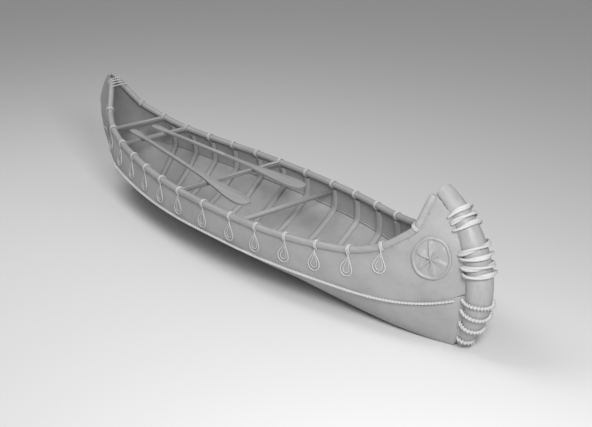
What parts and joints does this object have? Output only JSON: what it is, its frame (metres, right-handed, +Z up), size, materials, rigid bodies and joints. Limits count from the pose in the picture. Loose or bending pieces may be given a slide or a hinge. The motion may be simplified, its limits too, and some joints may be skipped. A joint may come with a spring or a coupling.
{
  "type": "bark canoe",
  "caption": "Open bark canoe with bent ribs, lashed gunwale poles, round thwarts, roped stem posts at both ends and loose paddles laid on the thwarts.",
  "frame": {"origin": "on the floor under the middle of the flat bottom", "axes": "+X to the bow along the length, +Y to port, +Z up"},
  "size_m": [4.0626, 0.9406, 0.927],
  "materials": {
    "bark": "smooth grey bark, matt",
    "rope": "grey twisted root cord",
    "pole_wood": "weathered grey pole",
    "rib_wood": "weathered grey split wood",
    "paddle_wood": "worn grey wood"
  },
  "bodies": {
    "hull": {"hull_bottom": "bark", "hull_side_port": "bark", "gunwale_port": "pole_wood", "gunwale_lashings_port": "rope", "hanging_loops_port": "rope", "seam_rope_port": "rope", "roundels_port": "bark", "hull_side_starboard": "bark", "gunwale_starboard": "pole_wood", "gunwale_lashings_starboard": "rope", "hanging_loops_starboard": "rope", "seam_rope_starboard": "rope", "roundels_starboard": "bark", "stem_bow": "pole_wood", "stem_wraps_bow": "rope", "stem_stern": "pole_wood", "stem_wraps_stern": "rope", "rib_01": "rib_wood", "rib_02": "rib_wood", "rib_03": "rib_wood", "rib_04": "rib_wood", "rib_05": "rib_wood", "rib_06": "rib_wood", "rib_07": "rib_wood", "rib_08": "rib_wood", "rib_09": "rib_wood", "rib_10": "rib_wood", "rib_11": "rib_wood", "rib_12": "rib_wood", "rib_13": "rib_wood", "thwart_1": "pole_wood", "thwart_2": "pole_wood", "thwart_3": "pole_wood", "thwart_4": "pole_wood"},
    "port_paddle": {"paddle_port": "paddle_wood"},
    "starboard_paddle": {"paddle_starboard": "paddle_wood"}
  },
  "joints": [
    {"name": "paddle_port_lift", "type": "slide", "parent": "hull", "child": "port_paddle", "axis": [0, 0, 1], "range_m": [0, 0.5]},
    {"name": "paddle_starboard_lift", "type": "slide", "parent": "hull", "child": "starboard_paddle", "axis": [0, 0, 1], "range_m": [0, 0.5]}
  ]
}
